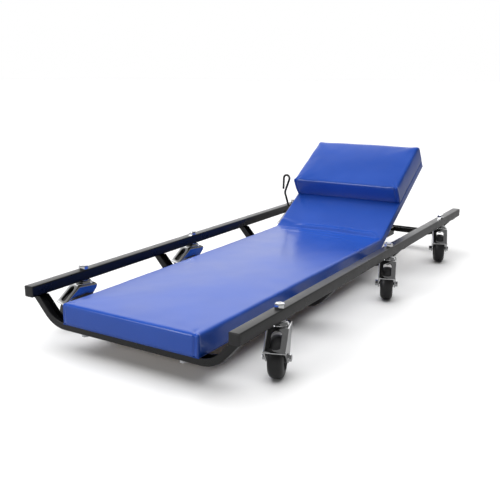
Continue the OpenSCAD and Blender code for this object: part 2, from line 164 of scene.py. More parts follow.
# %% Make the vinyl
def make_vinyl():
    material, tree, shader = start_material(
        "blue_vinyl", Roughness=0.32, Specular_IOR_Level=0.55, Coat_Weight=0.3,
        Coat_Roughness=0.16)
    cloud = add_noise(tree, 9.0, detail=2.0)
    tree.links.new(
        add_ramp(tree, cloud.outputs["Fac"], (0.008, 0.066, 0.400, 1), (0.012, 0.080, 0.460, 1)),
        shader.inputs["Base Color"])
    tree.links.new(add_range(tree, cloud.outputs["Fac"], 0.27, 0.36), shader.inputs["Roughness"])
    slow = add_noise(tree, 14.0, detail=1.0)
    slow_bumps = add_bump(tree, shader, slow.outputs["Fac"], 0.0016, 0.35)
    where = tree.nodes.new("ShaderNodeTexCoord")
    pebbles = tree.nodes.new("ShaderNodeTexVoronoi")
    pebbles.feature = "SMOOTH_F1"
    pebbles.inputs["Scale"].default_value = 900.0
    tree.links.new(where.outputs["Object"], pebbles.inputs["Vector"])
    add_bump(tree, shader, pebbles.outputs["Distance"], 0.00012, 0.4, under=slow_bumps)
    return material


vinyl = make_vinyl()
print("made", vinyl.name)

# %% [markdown]
# ## Painted, plated and moulded finishes
#
# The frame is powder coated black: glossy, with a faint orange peel. The casters are bright
# nickel-chrome, the hidden fasteners are duller zinc with soft directional streaks, the tyres
# are smooth hard rubber with a dusty sheen, and the end plugs and hubs are moulded plastic.

# %% Make the hard finishes
def make_paint():
    material, tree, shader = start_material(
        "black_powder_coat", Roughness=0.3, Specular_IOR_Level=0.42, Coat_Weight=0.12,
        Coat_Roughness=0.2)
    tone = add_noise(tree, 30.0, detail=3.0)
    tree.links.new(
        add_ramp(tree, tone.outputs["Fac"], (0.0045, 0.0046, 0.005, 1), (0.008, 0.008, 0.0088, 1)),
        shader.inputs["Base Color"])
    tree.links.new(add_range(tree, tone.outputs["Fac"], 0.25, 0.36), shader.inputs["Roughness"])
    peel = add_noise(tree, 420.0, detail=1.5)
    add_bump(tree, shader, peel.outputs["Fac"], 0.0002, 0.25)
    return material


def make_plate(name, color, rough_low, rough_high, streak):
    """A plated metal: noise stretched along one axis is the polishing that shows through."""
    material, tree, shader = start_material(name, Metallic=1.0)
    brushed = add_noise(tree, 160.0, detail=5.0, stretch=(1, 1, streak))
    low = (color[0] * 0.93, color[1] * 0.93, color[2] * 0.93, 1)
    tree.links.new(
        add_ramp(tree, brushed.outputs["Fac"], low, (*color, 1)), shader.inputs["Base Color"])
    tree.links.new(
        add_range(tree, brushed.outputs["Fac"], rough_low, rough_high), shader.inputs["Roughness"])
    add_bump(tree, shader, brushed.outputs["Fac"], 0.00006, 0.2)
    return material


def make_rubber():
    material, tree, shader = start_material(
        "tyre_rubber", Specular_IOR_Level=0.5, Sheen_Weight=0.15, Sheen_Roughness=0.4)
    dust = add_noise(tree, 55.0, detail=6.0)
    tree.links.new(
        add_ramp(tree, dust.outputs["Fac"], (0.012, 0.012, 0.013, 1), (0.021, 0.021, 0.022, 1)),
        shader.inputs["Base Color"])
    tree.links.new(add_range(tree, dust.outputs["Fac"], 0.36, 0.5), shader.inputs["Roughness"])
    skin = add_noise(tree, 900.0, detail=2.0)
    add_bump(tree, shader, skin.outputs["Fac"], 0.0001, 0.3)
    return material


def make_moulded(name, low, high, grain):
    """Moulded plastic: a fine spark-eroded grain and a satin surface."""
    material, tree, shader = start_material(name, Specular_IOR_Level=0.5)
    tone = add_noise(tree, 80.0, detail=3.0)
    tree.links.new(
        add_ramp(tree, tone.outputs["Fac"], (*low, 1), (*high, 1)), shader.inputs["Base Color"])
    tree.links.new(add_range(tree, tone.outputs["Fac"], 0.38, 0.5), shader.inputs["Roughness"])
    sparks = add_noise(tree, grain, detail=2.0)
    add_bump(tree, shader, sparks.outputs["Fac"], 0.00012, 0.4)
    return material


paint = make_paint()
chrome = make_plate("bright_chrome", (0.86, 0.865, 0.875), 0.05, 0.13, 1.0)
zinc = make_plate("zinc_plate", (0.62, 0.63, 0.65), 0.24, 0.38, 6.0)
rubber = make_rubber()
plug_plastic = make_moulded("plug_plastic", (0.012, 0.012, 0.013), (0.018, 0.018, 0.019), 1500.0)
hub_plastic = make_moulded("hub_plastic", (0.035, 0.035, 0.037), (0.05, 0.05, 0.052), 1200.0)
print("made the paint, plate, rubber and plastics")

# %% [markdown]
# ## Plywood
#
# The boards only show from below and at their edges. Long stretched noise gives the face grain
# along Y, and a wave across Z gives the plies, which show as stripes only on the edges because
# the faces lie in one ply.

# %% Make the plywood
def make_plywood():
    material, tree, shader = start_material("plywood", Roughness=0.62)
    grain = add_noise(tree, 60.0, detail=8.0, stretch=(1.0, 0.06, 1.0))
    face = add_ramp(tree, grain.outputs["Fac"], (0.30, 0.185, 0.09, 1), (0.50, 0.35, 0.19, 1))
    where = tree.nodes.new("ShaderNodeTexCoord")
    plies = tree.nodes.new("ShaderNodeTexWave")
    plies.bands_direction = "Z"
    plies.inputs["Scale"].default_value = 110.0
    tree.links.new(where.outputs["Object"], plies.inputs["Vector"])
    mix = tree.nodes.new("ShaderNodeMix")
    mix.data_type = "RGBA"
    mix.blend_type = "MULTIPLY"
    tree.links.new(add_range(tree, plies.outputs["Fac"], 0.0, 0.35), mix.inputs["Factor"])
    tree.links.new(face, mix.inputs["A"])
    mix.inputs["B"].default_value = (0.45, 0.36, 0.28, 1)
    tree.links.new(mix.outputs["Result"], shader.inputs["Base Color"])
    add_bump(tree, shader, grain.outputs["Fac"], 0.0004, 0.4)
    return material


plywood = make_plywood()
print("made", plywood.name)

# %% [markdown]
# ## Dressing the CAD nodes
#
# Hidden hardware keeps its CAD shape, which is exact, and only gets a finish. Pieces that are
# seen close are rebuilt below and replace their nodes one by one.

# %% Give every CAD node its finish
FINISH_OF_SLOT = {
    "frame_paint": paint, "wire_paint": paint, "plug_plastic": plug_plastic,
    "board_wood": plywood, "vinyl": vinyl, "zinc": zinc, "chrome": chrome,
    "wheel_plastic": hub_plastic, "tyre": rubber,
}
slot_of_node = {row["node"]: row["material_slot"] for row in frame["record"]["subparts"]}
for node, obj in frame["nodes"].items():
    obj.data.materials.clear()
    obj.data.materials.append(FINISH_OF_SLOT[slot_of_node[node]])
print("dressed", len(frame["nodes"]), "CAD nodes")

# %% [markdown]
# ## Finishing a piece
#
# Every rebuilt piece ends the same way: its bmesh becomes an object at the origin, its faces
# are smooth except at hard edges, it rides on a body, replaces its CAD nodes and gets the
# finish of its material slot. One helper does all of that, so no piece can miss a step.

# %% The finishing helper
HARD_EDGE = math.radians(38)


def finish_piece(bm, name, body, nodes, slot, hard=HARD_EDGE):
    """Makes the bmesh a finished object that stands for CAD nodes and rides on a body."""
    bmesh.ops.remove_doubles(bm, verts=bm.verts, dist=1e-6)
    bmesh.ops.recalc_face_normals(bm, faces=bm.faces)
    for face in bm.faces:
        face.smooth = True
    for edge in bm.edges:
        edge.smooth = len(edge.link_faces) == 2 and edge.calc_face_angle(0) < hard
    mesh = bpy.data.meshes.new(name)
    bm.to_mesh(mesh)
    bm.free()
    obj = bpy.data.objects.new(name, mesh)
    bpy.context.scene.collection.objects.link(obj)
    mesh.materials.append(FINISH_OF_SLOT[slot])
    if body:
        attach(obj, body)
    if nodes:
        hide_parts(*nodes)
    return obj


def block(bm, low, high):
    """A box between two corners, in the bmesh; returns its vertices."""
    low, high = Vector(low), Vector(high)
    size = high - low
    place = Matrix.Translation((low + high) / 2) @ Matrix.Diagonal((*size, 1))
    return bmesh.ops.create_cube(bm, size=1, matrix=place)["verts"]


def edges_of(verts):
    return list({e for v in verts for e in v.link_edges})


def faces_of(verts):
    return list({f for v in verts for f in v.link_faces})


def verts_in(geom):
    return [v for v in geom if isinstance(v, bmesh.types.BMVert)]


def edges_in(geom):
    return [e for e in geom if isinstance(e, bmesh.types.BMEdge)]


def everything(bm):
    return bm.verts[:] + bm.edges[:] + bm.faces[:]


def round_edges(bm, edges, radius, segments=3):
    return bmesh.ops.bevel(
        bm, geom=edges, offset=radius, segments=segments, profile=0.5, affect="EDGES",
        material=-1, clamp_overlap=True)


def round_corners(bm, verts, radius, segments):
    """Rounds the corners of a flat outline, before it is extruded."""
    bmesh.ops.bevel(bm, geom=verts, offset=radius, segments=segments, profile=0.5,
                    affect="VERTICES", material=-1)


def face_out(bm):
    """Turns the faces of an open sheet outwards: its highest one has to look up."""
    bmesh.ops.recalc_face_normals(bm, faces=bm.faces)
    highest = max(bm.faces, key=lambda f: f.calc_center_median().z)
    if highest.normal.z < 0:
        bmesh.ops.reverse_faces(bm, faces=bm.faces)


print("helpers ready")

# %% [markdown]
# ## The side rails
#
# Each rail is square steel tube with soft corners. A stretched cube with its four long edges
# bevelled is all the shape there is: the ends are closed by plugs, so the inside never shows.

# %% Build the rails
RAIL_CORNER = 2 * MM


def make_rail(side):
    node = "side_rail_" + side
    low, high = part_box(node)
    bm = bmesh.new()
    verts = block(bm, low, high)
    long_edges = [e for e in edges_of(verts) if abs((e.verts[0].co - e.verts[1].co).y) > 0.1]
    round_edges(bm, long_edges, RAIL_CORNER, segments=4)
    return finish_piece(bm, "rail_" + side, "frame", [node], "frame_paint")


for side in ("left", "right"):
    make_rail(side)
rail_low, rail_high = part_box("side_rail_right")
RAIL_X = (rail_low.x + rail_high.x) / 2
RAIL_SIZE = rail_high.x - rail_low.x
print("rails at x = +-%.3f m" % RAIL_X)

# %% [markdown]
# ## The end plugs
#
# A moulded plug is a square flange with a low dome. A stretched cube gives the flange, its
# corner edges are bevelled to match the tube, and its outer face is extruded again and again,
# each time a little smaller, which makes the dome. One plug is built for each rail end.

# %% Build the end plugs
PLUG_FLANGE = 1.3 * MM
DOME_STEPS = [(0.94, 0.2 * MM), (0.86, 0.3 * MM), (0.8, 0.25 * MM), (0.6, 0.15 * MM)]


def add_plug(bm, side, end, tip_y):
    half = RAIL_SIZE / 2
    face_y = tip_y - end * sum(step[1] for step in DOME_STEPS)
    ys = sorted([face_y, face_y - end * PLUG_FLANGE])
    verts = block(bm, (side * RAIL_X - half, ys[0], rail_low.z),
                  (side * RAIL_X + half, ys[1], rail_high.z))
    corners = [e for e in edges_of(verts) if abs((e.verts[0].co - e.verts[1].co).y) > 1e-4]
    rounded = round_edges(bm, corners, RAIL_CORNER, segments=4)
    faces = faces_of([v for f in rounded["faces"] for v in f.verts])
    outer = max(faces, key=lambda f: (end * f.calc_center_median().y, f.calc_area()))
    for share, height in DOME_STEPS:
        outer = bmesh.ops.extrude_discrete_faces(bm, faces=[outer])["faces"][0]
        middle = Matrix.Translation(-outer.calc_center_median())
        bmesh.ops.scale(bm, vec=(share, 1, share), space=middle, verts=outer.verts)
        bmesh.ops.translate(bm, verts=outer.verts, vec=(0, end * height, 0))


plug_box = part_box("rail_end_plugs")
plugs = bmesh.new()
for side in (-1, 1):
    add_plug(plugs, side, -1, plug_box[0].y)
    add_plug(plugs, side, 1, plug_box[1].y)
end_plugs = finish_piece(plugs, "end_plugs", "frame", ["rail_end_plugs"], "plug_plastic")
print("plugs:", len(end_plugs.data.polygons), "faces")

# %% [markdown]
# ## A bender for wire and channel
#
# Both the cross channels and the wire prop are made by bending: straight, bend, straight. The
# bender keeps the open end of a shape and either pushes it straight on with extrude or swings
# it round a bend with spin, exactly as a tube bender does. It keeps the direction of travel, so
# a piece is written as a list of moves.

# %% The bender
class Bender:
    """Carries a ring or profile of edges along a path of straights and bends."""

    def __init__(self, bm, edges, at, along):
        self.bm, self.edges = bm, list(edges)
        self.at, self.along = Vector(at), Vector(along).normalized()

    def straight(self, length, steps=1):
        for _ in range(steps):
            moved = bmesh.ops.extrude_edge_only(self.bm, edges=self.edges)["geom"]
            step = self.along * length / steps
            bmesh.ops.translate(self.bm, vec=step, verts=verts_in(moved))
            self.edges = edges_in(moved)
            self.at += step

    def bend(self, towards, radius, angle, steps=8):
        """Turns by an angle in radians, towards a direction square to the path."""
        towards = Vector(towards).normalized()
        axis = self.along.cross(towards)
        centre = self.at + towards * radius
        swung = bmesh.ops.spin(
            self.bm, geom=self.edges, cent=centre, axis=axis, angle=angle, steps=steps,
            use_merge=False, use_duplicate=False)["geom_last"]
        self.edges = edges_in(swung)
        turn = Matrix.Rotation(angle, 3, axis)
        self.at = centre + turn @ (self.at - centre)
        self.along = turn @ self.along


print("bender ready")

# %% [markdown]
# ## The cross channels
#
# A channel is a pressed steel trough, open upwards, that dips under the pad and climbs to the
# rails. Half of one is a U profile pushed from the middle to the bend, swung round it and
# pushed up to the rail. Mirror makes the other half, and Solidify gives the sheet its
# thickness, outside face first. A small bevel in the profile rounds the two folded edges.

# %% Build the channels
CHANNEL_SHEET = 1.6 * MM
CHANNEL_FOLD = 2.6 * MM
CHANNEL_SLOPE = math.radians(48)
CHANNEL_BEND = 55 * MM


def make_channel(place):
    node = "cross_channel_" + place
    low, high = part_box(node)
    half_width = (high.y - low.y) / 2
    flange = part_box("main_board")[0].z - low.z
    reach = high.x - (high.z - low.z) / math.tan(CHANNEL_SLOPE)
    bend_x = reach - CHANNEL_BEND * math.tan(CHANNEL_SLOPE / 2)
    middle = Vector((0, (low.y + high.y) / 2, low.z))
    bm = bmesh.new()
    floor = bmesh.ops.create_grid(bm, x_segments=1, y_segments=1, size=half_width)["verts"]
    bmesh.ops.scale(bm, verts=floor, vec=(0, 1, 1))
    bmesh.ops.remove_doubles(bm, verts=floor, dist=1e-6)
    bmesh.ops.translate(bm, verts=bm.verts, vec=middle)
    for vert in list(bm.verts):
        moved = bmesh.ops.extrude_vert_indiv(bm, verts=[vert])["verts"]
        bmesh.ops.translate(bm, verts=moved, vec=(0, 0, flange))
    folds = [v for v in bm.verts if len(v.link_edges) == 2]
    round_corners(bm, folds, CHANNEL_FOLD, 4)
    bender = Bender(bm, bm.edges, middle, (1, 0, 0))
    bender.straight(bend_x, steps=6)
    bender.bend((0, 0, 1), CHANNEL_BEND, CHANNEL_SLOPE, steps=14)
    rise_left = high.z + 1.5 * MM - bender.at.z
    bender.straight(rise_left / math.sin(CHANNEL_SLOPE), steps=2)
    bmesh.ops.bisect_plane(bm, geom=everything(bm), plane_co=(0, 0, high.z),
                           plane_no=(0, 0, 1), clear_outer=True)
    bmesh.ops.mirror(bm, geom=everything(bm), axis="X", merge_dist=1e-5)
    bmesh.ops.remove_doubles(bm, verts=bm.verts, dist=1e-6)
    bmesh.ops.recalc_face_normals(bm, faces=bm.faces)
    floor_face = min(bm.faces, key=lambda f: f.calc_center_median().z)
    if floor_face.normal.z > 0:
        bmesh.ops.reverse_faces(bm, faces=bm.faces)
    bmesh.ops.solidify(bm, geom=bm.faces[:], thickness=CHANNEL_SHEET)
    return finish_piece(bm, "channel_" + place, "frame", [node], "frame_paint")


channels = [make_channel(place) for place in ("foot", "hip", "shoulder", "head")]
print("channels:", [len(c.data.polygons) for c in channels], "faces")

# %% [markdown]
# ## The weld beads
#
# A weld bead looks like a row of coins that have slid over each other. A short row of flattened
# spheres, each overlapping the last, gives that ripple. They lie where each channel meets the
# underside of its rail.

# %% Build the weld beads
BEAD_RADIUS = 2.6 * MM
BEAD_STEP = 2.0 * MM


def add_bead(bm, x, y_from, y_to, z):
    count = int((y_to - y_from) / BEAD_STEP)
    for i in range(count + 1):
        place = Matrix.Translation((x, y_from + i * BEAD_STEP, z))
        shape = place @ Matrix.Diagonal((1.0, 0.62, 0.8, 1))
        bmesh.ops.create_uvsphere(bm, u_segments=12, v_segments=8, radius=BEAD_RADIUS, matrix=shape)


beads = bmesh.new()
for channel in channels:
    ys = [v.co.y for v in channel.data.vertices]
    for side in (-1, 1):
        end_x = side * (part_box("cross_channel_foot")[1].x + 0.6 * MM)
        add_bead(beads, end_x, min(ys) + 1 * MM, max(ys) - 1 * MM, rail_low.z - 0.4 * MM)
weld_beads = finish_piece(beads, "weld_beads", "frame", ["frame_welds"], "frame_paint")
print("weld beads:", len(weld_beads.data.polygons), "faces")

# %% [markdown]
# ## The wire prop
#
# One black wire is bent into the prop: an axis in two clips, a leaning bail that stands on the
# racks, and a hook for the hand. The axis and the bail lie in one plane and the hook in
# another. The wire is bent in one run: from the right end of the axis round the bail, back
# along the axis and up into the hook. A circle is carried along by the bender; the start is
# closed flat, and the far end is closed and rounded.

# %% Build the wire prop
WIRE_RADIUS = 2.5 * MM
PROP_LEAN = math.radians(56)
PROP_BEND = 8 * MM
HOOK_START_X = -142 * MM
joint_of = {joint["name"]: joint for joint in frame["joints"]}
PROP_AXIS = Vector(joint_of["prop_pivot"]["pos_m"])


def wire_run(bm, start, along):
    """A ring of wire, ready to be carried from a point."""
    turn = Vector((0, 0, 1)).rotation_difference(Vector(along)).to_matrix().to_4x4()
    ring = bmesh.ops.create_circle(
        bm, cap_ends=False, radius=WIRE_RADIUS, segments=20,
        matrix=Matrix.Translation(start) @ turn)["verts"]
    return Bender(bm, edges_of(ring), start, along)


def close_wire(bender):
    """Closes the open end of a wire and takes its sharp edge off."""
    cap = bmesh.ops.contextual_create(bender.bm, geom=bender.edges)["faces"][0]
    round_edges(bender.bm, list(cap.edges), 0.7 * MM, segments=2)


def side_of(along, turn):
    """The direction square to a path in the X-Z plane: 1 to its right, -1 to its left."""
    return Vector((along.z, 0, -along.x)) * turn


def make_wire_prop():
    low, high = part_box("prop_wire")
    bail_half = 66 * MM
    foot = (PROP_AXIS.z - low.z - WIRE_RADIUS) / math.cos(PROP_LEAN)
    down = Vector((0, math.sin(PROP_LEAN), -math.cos(PROP_LEAN)))
    bm = bmesh.new()
    start = Vector((high.x - 1.2 * MM, PROP_AXIS.y, PROP_AXIS.z))
    bail = wire_run(bm, start, (-1, 0, 0))
    first_ring = list(bail.edges)
    quarter = math.pi / 2
    bail.straight(start.x - bail_half - PROP_BEND, steps=2)
    bail.bend(down, PROP_BEND, quarter)
    bail.straight(foot - 2 * PROP_BEND, steps=4)
    bail.bend((-1, 0, 0), PROP_BEND, quarter)
    bail.straight(2 * (bail_half - PROP_BEND), steps=4)
    bail.bend(-down, PROP_BEND, quarter)
    bail.straight(foot - 2 * PROP_BEND, steps=4)
    bail.bend((-1, 0, 0), PROP_BEND, quarter)
    bail.straight(bail.at.x - HOOK_START_X, steps=3)
    bail.bend((0, 0, 1), PROP_BEND, math.radians(72), steps=8)
    bail.straight(26 * MM, steps=3)
    bail.bend(side_of(bail.along, 1), 12 * MM, math.radians(38), steps=5)
    bail.straight(30 * MM, steps=3)
    bail.bend(side_of(bail.along, -1), 7.7 * MM, math.radians(198), steps=18)
    bail.straight(27 * MM, steps=3)
    close_wire(bail)
    bmesh.ops.contextual_create(bm, geom=first_ring)
    return finish_piece(bm, "wire_prop", "prop", ["prop_wire"], "wire_paint")


wire_prop = make_wire_prop()

# %% [markdown]
# ## Turned parts
#
# Tyres, hubs and bearing cups are all bodies of revolution: a closed section spun once round an
# axis. The section's corners are rounded first with a vertex bevel, so the spin carries the
# rounding all the way round. Sections are written as (along the axis, radius) pairs.

# %% The spinning helper
def spin_section(bm, section, at, axis, steps, rounding=0.0):
    """Spins a closed section of (along, radius) pairs in mm round an axis through a point."""
    axis = Vector(axis)
    outward = Vector((0, 0, 1)) if abs(axis.z) < 0.5 else Vector((1, 0, 0))
    verts = [bm.verts.new(Vector(at) + axis * a * MM + outward * r * MM) for a, r in section]
    loop = [bm.edges.new((verts[i - 1], verts[i])) for i in range(len(verts))]
    if rounding:
        done = bmesh.ops.bevel(
            bm, geom=verts, offset=rounding * MM, segments=2, profile=0.5, affect="VERTICES",
            material=-1, clamp_overlap=True)
        fresh = set(done["verts"]) | {v for v in verts if v.is_valid}
        loop = list({e for v in fresh for e in v.link_edges})
        verts = list(fresh)
    bmesh.ops.spin(
        bm, geom=verts + loop, cent=at, axis=axis, dvec=(0, 0, 0), angle=math.tau, steps=steps,
        use_merge=True, use_normal_flip=False, use_duplicate=False)


print("spinning helper ready")

# %% [markdown]
# ## Hexagon heads
#
# A bolt head is a hexagon prism whose top edge is chamfered so that it doesn't cut a hand, with
# a shallow dish pressed into the top. A six-sided cone of equal radii is the prism; bevel makes
# the chamfer and two insets make the dish.

# %% The hexagon helper
def add_hexagon(bm, flats, height, place, dish=0.5, chamfer=0.9):
    """A hexagon head in mm that stands on a place and points along its +Z."""
    verts = bmesh.ops.create_cone(
        bm, cap_ends=True, segments=6, radius1=flats / 2 / math.cos(math.pi / 6) * MM,
        radius2=flats / 2 / math.cos(math.pi / 6) * MM, depth=height * MM,
        matrix=Matrix.Translation((0, 0, height / 2 * MM)))["verts"]
    top = max(faces_of(verts), key=lambda f: f.calc_center_median().z)
    before = set(bm.verts) - set(verts)
    round_edges(bm, list(top.edges), chamfer * MM, segments=3)
    mine = [v for v in bm.verts if v not in before]
    top = max(faces_of(mine), key=lambda f: (round(f.calc_center_median().z, 6), f.calc_area()))
    bmesh.ops.inset_region(bm, faces=[top], thickness=flats * 0.16 * MM, use_even_offset=True)
    bmesh.ops.inset_region(
        bm, faces=[top], thickness=0.8 * MM, depth=-dish * MM, use_even_offset=True)
    mine = [v for v in bm.verts if v not in before]
    bmesh.ops.transform(bm, matrix=place, verts=mine)


def add_rod(bm, radius, start, end, segments=24):
    """A plain round bar between two points."""
    start, end = Vector(start), Vector(end)
    turn = Vector((0, 0, 1)).rotation_difference(end - start).to_matrix().to_4x4()
    verts = bmesh.ops.create_cone(
        bm, cap_ends=True, segments=segments, radius1=radius, radius2=radius,
        depth=(end - start).length, matrix=Matrix.Translation((start + end) / 2) @ turn)["verts"]
    rims = [e for e in edges_of(verts) if any(len(f.verts) > 4 for f in e.link_faces)]
    round_edges(bm, rims, min(0.5 * MM, radius / 4), segments=2)


print("hexagon and rod helpers ready")

# %% [markdown]
# ## Caster bolts and bearing cups
#
# Each caster hangs on one bolt. Its bright hexagon head stands on top of the rail, its shank
# runs down through the spacer and the cup, and the fork swivels on it. The cup is a pressed
# ring that flares out over the ball race.

# %% Build the bolts and cups
CASTERS = ["foot_left", "foot_right", "mid_left", "mid_right", "head_left", "head_right"]
BOLT_FLATS = 14.0
BOLT_HEAD = 6.5


def swivel_point(name):
    return Vector(joint_of["swivel_" + name]["pos_m"])


def caster_place(name):
    """The matrix from a caster's own frame, which trails towards -Y, into the model's."""
    spot, axis = swivel_point(name), Vector(joint_of["spin_" + name]["axis"])
    swing = math.atan2(axis.y, axis.x)
    return Matrix.Translation((spot.x, spot.y, 0)) @ Matrix.Rotation(swing, 4, "Z")


axle_low = joint_of["spin_foot_right"]["pos_m"]
swivel_low = joint_of["swivel_foot_right"]["pos_m"]
TRAIL = math.hypot(axle_low[0] - swivel_low[0], axle_low[1] - swivel_low[1])
WHEEL_RADIUS = axle_low[2]

bolt_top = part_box("caster_bolts")[1].z
bolt_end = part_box("caster_bolts")[0].z
cup_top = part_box("caster_cups")[1].z
cup_drop = (cup_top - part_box("caster_cups")[0].z) / MM
CUP_SECTION = [
    (0, 4.2), (0, 10.4), (-0.9, 12.2), (-2.6, 12.9), (-3.9, 14.5), (-cup_drop, 14.5),
    (-cup_drop, 13.4), (-3.2, 12.4), (-1.5, 11.0), (-1.5, 4.2),
]

bolts, cups = bmesh.new(), bmesh.new()
for turn, name in enumerate(CASTERS):
    spot = swivel_point(name)
    head_base = Vector((spot.x, spot.y, bolt_top - BOLT_HEAD * MM))
    twist = Matrix.Rotation(math.radians(17 * turn), 4, "Z")
    add_hexagon(bolts, BOLT_FLATS, BOLT_HEAD, Matrix.Translation(head_base) @ twist, chamfer=1.3)
    add_rod(bolts, 4 * MM, (spot.x, spot.y, bolt_end), head_base)
    spin_section(cups, CUP_SECTION, (spot.x, spot.y, cup_top), (0, 0, 1), 40, rounding=0.25)
caster_bolts = finish_piece(bolts, "swivel_bolts", "frame", ["caster_bolts"], "chrome")
finish_piece(cups, "bearing_cups", "frame", ["caster_cups"], "chrome")
print("bolts:", len(caster_bolts.data.polygons), "faces")

# %% [markdown]
# ## The caster forks
#
# A fork is pressed from one sheet: a flat top under the cup, a hood that slopes down over the
# tyre with an arched window in it, and two legs that taper to the axle. The leg's outline is
# a face with rounded corners. Extruding it across gives a block, whose open sides are deleted.
# The hood's lower edge is turned outwards and the folds are bevelled. Then the slope is taken
# out and filled again round a ring, which leaves the window, and Solidify gives the sheet its
# thickness. A round boss on each leg takes the axle.

# %% Build a fork
FORK_SHEET = 2.2 * MM
FORK_FOLD = 3.4 * MM
FORK_HALF = 16.5 * MM
WINDOW_HALF = 7.8 * MM
WINDOW_TOP = 1.5 * MM
WINDOW_SILL = 2.5 * MM
LIP_FLARE = Vector((0, -2.6 * MM, -1.3 * MM))
BOSS_RADIUS = 5.6 * MM
BOSS_STAND = 0.8 * MM


def fork_outline(top):
    """The leg's corners in the Y-Z plane, in metres, and the rounding of each."""
    return [
        (16 * MM, top - 5 * MM, 2.5 * MM), (16 * MM, top, 0), (-16.5 * MM, top, 0),
        (-43.5 * MM, top - 26 * MM, 0), (-41 * MM, top - 30.5 * MM, 0),
        (-TRAIL - 6.5 * MM, WHEEL_RADIUS - 7.5 * MM, 5.5 * MM),
        (-TRAIL + 6.5 * MM, WHEEL_RADIUS - 7.5 * MM, 5.5 * MM),
        (5 * MM, top - 20 * MM, 6 * MM),
    ]


def make_leg_and_hood(bm, top):
    """The folded sheet before its window: two legs, the crown and the sloping hood."""
    corners = [(bm.verts.new((-FORK_HALF, y, z)), r) for y, z, r in fork_outline(top)]
    bm.faces.new([vert for vert, _ in corners])
    for vert, radius in corners:
        if radius:
            round_corners(bm, [vert], radius, 6)
    across = bmesh.ops.extrude_face_region(bm, geom=bm.faces[:], use_keep_orig=True)["geom"]
    bmesh.ops.translate(bm, vec=(2 * FORK_HALF, 0, 0), verts=verts_in(across))
    bmesh.ops.recalc_face_normals(bm, faces=bm.faces)
    bands = [f for f in bm.faces if abs(f.normal.x) < 0.5]
    hood = [f for f in bands if max(v.co.z for v in f.verts) > top - 1 * MM
            and f.calc_center_median().y < 15 * MM]
    bmesh.ops.delete(bm, geom=[f for f in bands if f not in hood], context="FACES")


def cut_window(bm, slope):
    """An arched window in the slope, with a narrow bar left under it."""
    rim, out, middle = list(slope.edges), slope.normal.copy(), slope.calc_center_median()
    down = out.cross(Vector((1, 0, 0)))
    down = down if down.z < 0 else -down
    reach = max((v.co - middle).dot(down) for v in slope.verts)
    bmesh.ops.delete(bm, geom=[slope], context="FACES_ONLY")
    ring = bmesh.ops.create_circle(bm, segments=32, radius=WINDOW_HALF)["verts"]
    arch = -reach + WINDOW_TOP + WINDOW_HALF
    sill = reach - WINDOW_SILL - 0.45 * WINDOW_HALF
    for vert in ring:
        x, y = vert.co.x, vert.co.y
        along = arch - y if y > -1e-6 else sill - 0.45 * y
        vert.co = middle + Vector((x, 0, 0)) + down * along
    bmesh.ops.triangle_fill(bm, edges=rim + edges_of(ring), use_beauty=True)
    bmesh.ops.join_triangles(bm, faces=bm.faces[:], angle_face_threshold=0.01,
                             angle_shape_threshold=3.1)


def make_fork(name):
    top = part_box("fork_" + name)[1].z
    bm = bmesh.new()
    make_leg_and_hood(bm, top)
    lip = [e for e in bm.edges if e.is_boundary and e.verts[0].co.z < top - 20 * MM
           and abs(e.verts[0].co.x - e.verts[1].co.x) > FORK_HALF]
    flare = bmesh.ops.extrude_edge_only(bm, edges=lip)["geom"]
    bmesh.ops.translate(bm, vec=LIP_FLARE, verts=verts_in(flare))
    folds = [e for e in bm.edges if len(e.link_faces) == 2 and e.calc_face_angle(0) > 0.4]
    round_edges(bm, folds, FORK_FOLD, segments=4)
    face_out(bm)
    cut_window(bm, max((f for f in bm.faces if f.normal.y < -0.4 and f.normal.z > 0.4),
                       key=lambda f: f.calc_area()))
    face_out(bm)
    bmesh.ops.solidify(bm, geom=bm.faces[:], thickness=FORK_SHEET)
    for side in (-1, 1):
        add_rod(bm, BOSS_RADIUS, (side * (FORK_HALF - 0.5 * MM), -TRAIL, WHEEL_RADIUS),
                (side * (FORK_HALF + BOSS_STAND), -TRAIL, WHEEL_RADIUS), segments=32)
    bmesh.ops.transform(bm, matrix=caster_place(name), verts=bm.verts)
    return finish_piece(bm, "fork_press_" + name, "caster_" + name, ["fork_" + name], "chrome")


forks = [make_fork(name) for name in CASTERS]
print("forks:", [len(f.data.polygons) for f in forks], "faces")

# %% [markdown]
# ## Axles, hubs and tyres
#
# The axle is a bolt with its head outside and a nut inside. The hub is a moulded wheel with
# a thin web, and the tyre is a smooth barrel: its section is a superellipse, which is the plain
# formula for a shape between an oval and a box.

# %% Build the wheels
AXLE_RADIUS = 3 * MM
AXLE_FLATS = 10.0
AXLE_HEAD = 3.5
AXLE_NUT = 5.0
TYRE_HALF = 12.0
TYRE_INSIDE = 19.0
TYRE_SQUARENESS = 2.7
TYRE_POINTS = 26
HUB_SECTION = [
    (13, 3.06), (13, 7.3), (4.2, 8.6), (3.6, 15.6), (10.5, 16.4), (10.5, 19), (-10.5, 19),
    (-10.5, 16.4), (-3.6, 15.6), (-4.2, 8.6), (-13, 7.3), (-13, 3.06),
]


def tyre_section(outer):
    """The tyre's closed section, from its inner edge over the crown and back."""
    power = 2 / TYRE_SQUARENESS
    points = [(-TYRE_HALF, TYRE_INSIDE)]
    for i in range(TYRE_POINTS + 1):
        angle = math.pi * (i / TYRE_POINTS - 0.5) * 0.94
        along = math.copysign(abs(math.sin(angle)) ** power, angle) * TYRE_HALF
        rise = math.cos(angle) ** power * (outer - TYRE_INSIDE)
        points.append((along, TYRE_INSIDE + rise))
    return points + [(TYRE_HALF, TYRE_INSIDE)]


